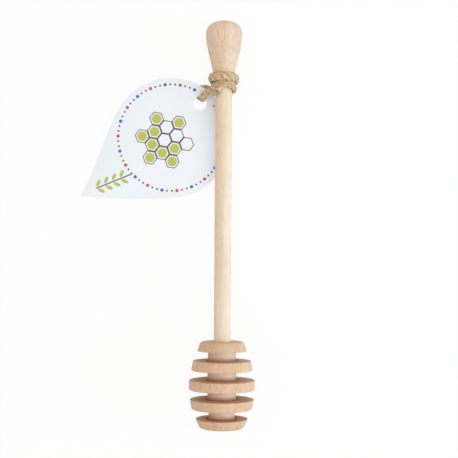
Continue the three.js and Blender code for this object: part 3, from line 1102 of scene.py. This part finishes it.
class StageSettings(bpy.types.PropertyGroup):
    """Camera, floor and light."""

    focal_pixels: bpy.props.FloatProperty(
        name="Focal length", description="Focal length in pixels of the square image",
        default=930.0, min=100.0, subtype="PIXEL")
    camera_place: bpy.props.FloatVectorProperty(
        name="Camera", description="Place of the camera", subtype="TRANSLATION", unit="LENGTH", size=3,
        default=(2.55 * MM, -2.3 * MM, 399.6 * MM), precision=5)
    camera_roll: bpy.props.FloatProperty(
        name="Roll", description="Turn of the camera about its line of sight",
        default=math.radians(0.36), subtype="ANGLE", unit="ROTATION")
    key_energy: bpy.props.FloatProperty(
        name="Key light", description="Power of the soft light on the right",
        default=2.0, min=0.0, unit="POWER")
    key_place: bpy.props.FloatVectorProperty(
        name="Key place", description="Place of the soft light on the right",
        default=(0.74, -0.06, 0.2), subtype="TRANSLATION", unit="LENGTH", size=3)
    key_sides: bpy.props.FloatVectorProperty(
        name="Key sides", description="Sides of the soft light on the right",
        default=(0.14, 0.36), min=0.01, unit="LENGTH", size=2)
    key_colour: colour_setting("Key colour", "Cool daylight from the right", (0.4, 0.79, 1.0))
    fill_energy: bpy.props.FloatProperty(
        name="Fill light", description="Power of the soft light overhead",
        default=2.16, min=0.0, unit="POWER")
    fill_place: bpy.props.FloatVectorProperty(
        name="Fill place", description="Place of the soft light overhead",
        default=(0.29, -0.05, 0.737), subtype="TRANSLATION", unit="LENGTH", size=3)
    fill_sides: bpy.props.FloatVectorProperty(
        name="Fill sides", description="Sides of the soft light overhead",
        default=(0.3, 0.8), min=0.01, unit="LENGTH", size=2)
    fill_colour: colour_setting("Fill colour", "White light from overhead", (0.97, 0.985, 1.0))
    sky: bpy.props.FloatProperty(
        name="Surroundings", description="Strength of the pale surroundings", default=0.76, min=0.0)
    sky_colour: colour_setting("Sky colour", "Tint of the pale surroundings", (0.985, 0.95, 0.91))
    floor_glow: bpy.props.FloatProperty(
        name="White floor", description="Share of pure white in the floor as the camera sees it",
        default=0.92, min=0.0, max=1.0, subtype="FACTOR")


class HONEYSPOON_OT_stage(bpy.types.Operator):
    """Sets up the camera straight above, a white floor and soft light from the right and overhead"""

    bl_idname = "honeyspoon.stage"
    bl_label = "Camera, floor and light"

    def execute(self, context):
        settings = context.scene.honeyspoon_stage
        context.scene.view_settings.view_transform = "Standard"
        self.camera(context, settings)
        self.floor(context, settings)
        self.lights(context, settings)
        return {"FINISHED"}

    def camera(self, context, settings):
        lens = bpy.data.cameras.new("camera")
        lens.sensor_width = 36.0
        lens.lens = settings.focal_pixels * lens.sensor_width / IMAGE_SIDE
        camera = bpy.data.objects.new("camera", lens)
        context.scene.collection.objects.link(camera)
        camera.location = settings.camera_place
        camera.rotation_euler = (0.0, 0.0, settings.camera_roll)
        context.scene.camera = camera

    def floor(self, context, settings):
        mesh = bpy.data.meshes.new("floor")
        ways = ((-1, -1), (1, -1), (1, 1), (-1, 1))
        corners = [(x * FLOOR_REACH, y * FLOOR_REACH, -FLOOR_DEPTH * MM) for x, y in ways]
        mesh.from_pydata(corners, [], [(0, 1, 2, 3)])
        material, sockets, shader = new_material("white_floor")
        shader.inputs["Base Color"].default_value = (0.9, 0.9, 0.9, 1.0)
        shader.inputs["Roughness"].default_value = 0.9
        shader.inputs["Specular IOR Level"].default_value = 0.0
        seen = sockets.node("ShaderNodeLightPath", None, None, "Is Camera Ray")
        mirrored = sockets.node("ShaderNodeLightPath", None, None, "Is Glossy Ray")
        through = sockets.node("ShaderNodeLightPath", None, None, "Is Transmission Ray")
        glow = sockets.node("ShaderNodeEmission", None, {"Color": (1.0, 1.0, 1.0, 1.0), "Strength": 1.0})
        share = (seen + mirrored + through) * settings.floor_glow
        plain = Socket(sockets.tree, shader.outputs[0])
        surface = sockets.node("ShaderNodeMixShader", None, {0: share, 1: plain, 2: glow})
        sockets.feed(material.node_tree.nodes["Material Output"].inputs["Surface"], surface)
        linked("floor", mesh, Matrix.Identity(4), material)

    def lights(self, context, settings):
        world = bpy.data.worlds.new("pale_surroundings")
        context.scene.world = world
        world.use_nodes = True
        surroundings = world.node_tree.nodes["Background"]
        surroundings.inputs["Color"].default_value = (*settings.sky_colour, 1.0)
        surroundings.inputs["Strength"].default_value = settings.sky
        for name in ("key", "fill"):
            self.area(context, settings, name)

    def area(self, context, settings, name):
        """A soft light that faces the spoon's middle, from the settings that start with its name."""
        light = bpy.data.lights.new(f"{name}_light", "AREA")
        light.shape = "RECTANGLE"
        light.size, light.size_y = getattr(settings, f"{name}_sides")
        light.energy = getattr(settings, f"{name}_energy")
        light.color = getattr(settings, f"{name}_colour")
        lamp = bpy.data.objects.new(f"{name}_light", light)
        context.scene.collection.objects.link(lamp)
        lamp.location = getattr(settings, f"{name}_place")
        lamp.rotation_euler = (-lamp.location).to_track_quat("-Z", "Y").to_euler()


class HONEYSPOON_OT_wood(bpy.types.Operator):
    """Turns the head, the stick and the knob from beech"""

    bl_idname = "honeyspoon.wood"
    bl_label = "Head, stick and knob"

    def execute(self, context):
        wood = context.scene.honeyspoon_wood
        matrix = spoon_matrix()
        outlines = {
            "head": head_outline(wood),
            "stick": stick_outline(),
            "knob": knob_outline(),
        }
        finishes = {
            "head": beech(
                "beech_head", wood.head_tone, wood.head_warm, seed=3.0,
                fleck_depth=0.6, fleck_run=3.0, end_grain=0.25, core_tone=wood.core_tone),
            "stick": beech(
                "beech_stick", wood.stick_tone, wood.stick_warm, seed=41.0,
                fleck_depth=0.35, fleck_run=5.0, end_grain=0.4),
            "knob": beech(
                "beech_knob", wood.knob_tone, wood.knob_warm, seed=87.0,
                fleck_depth=0.8, fleck_run=7.0, end_grain=0.4),
        }
        for node, outline in outlines.items():
            mesh = turned(f"turned_{node}", outline, wood.flats)
            piece = linked(f"turned_{node}", mesh, matrix, finishes[node])
            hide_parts(node)
            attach(piece, "spoon")
        return {"FINISHED"}


class HONEYSPOON_OT_twine(bpy.types.Operator):
    """Winds the jute twine round the neck and through the tag's hole"""

    bl_idname = "honeyspoon.twine"
    bl_label = "Jute twine"

    def execute(self, context):
        twine = context.scene.honeyspoon_twine
        line = twine_line(RING_SPACING * MM)
        finish = jute("jute", twine.colour, twine.dark, twine.pale)
        piece = linked("jute_twine", twine_mesh("jute_twine", line, twine), Matrix.Identity(4), finish)
        hairs = linked("jute_hairs", fibre_mesh("jute_hairs", line, twine), Matrix.Identity(4), finish)
        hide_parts("twine_winding", "twine_tag_loop")
        for part in (piece, hairs):
            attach(part, "twine")
        length = sum((after - before).length for before, after in zip(line, line[1:]))
        return {"FINISHED"}


class HONEYSPOON_OT_tag(bpy.types.Operator):
    """Cuts the drop-shaped card tag and prints its front"""

    bl_idname = "honeyspoon.tag"
    bl_label = "Card tag"

    def execute(self, context):
        tag = context.scene.honeyspoon_tag
        finish = printed_card("card", tag)
        piece = linked("card_tag", card_mesh("card_tag", tag.ease), tag_matrix(), finish)
        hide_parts("tag")
        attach(piece, "swing_tag")
        return {"FINISHED"}


class HONEYSPOON_PT_panel(bpy.types.Panel):
    """Lists the pieces of the honey spoon"""

    bl_idname = "HONEYSPOON_PT_panel"
    bl_label = "Honey spoon"
    bl_space_type = "VIEW_3D"
    bl_region_type = "UI"
    bl_category = "Honey spoon"

    def draw(self, context):
        for operator in OPERATORS:
            self.layout.operator(operator.bl_idname)


SETTINGS = {
    "honeyspoon_stage": StageSettings,
    "honeyspoon_wood": WoodSettings,
    "honeyspoon_twine": TwineSettings,
    "honeyspoon_tag": TagSettings,
}
OPERATORS = (HONEYSPOON_OT_stage, HONEYSPOON_OT_twine, HONEYSPOON_OT_wood, HONEYSPOON_OT_tag)
CLASSES = (*SETTINGS.values(), *OPERATORS, HONEYSPOON_PT_panel)


def register():
    for made in CLASSES:
        bpy.utils.register_class(made)
    for name, group in SETTINGS.items():
        setattr(bpy.types.Scene, name, bpy.props.PointerProperty(type=group))


def unregister():
    for name in SETTINGS:
        delattr(bpy.types.Scene, name)
    for made in reversed(CLASSES):
        bpy.utils.unregister_class(made)


def main():
    register()
    bpy.ops.honeyspoon.stage()
    bpy.ops.honeyspoon.twine()
    bpy.ops.honeyspoon.wood()
    bpy.ops.honeyspoon.tag()


if __name__ == "__main__":
    main()
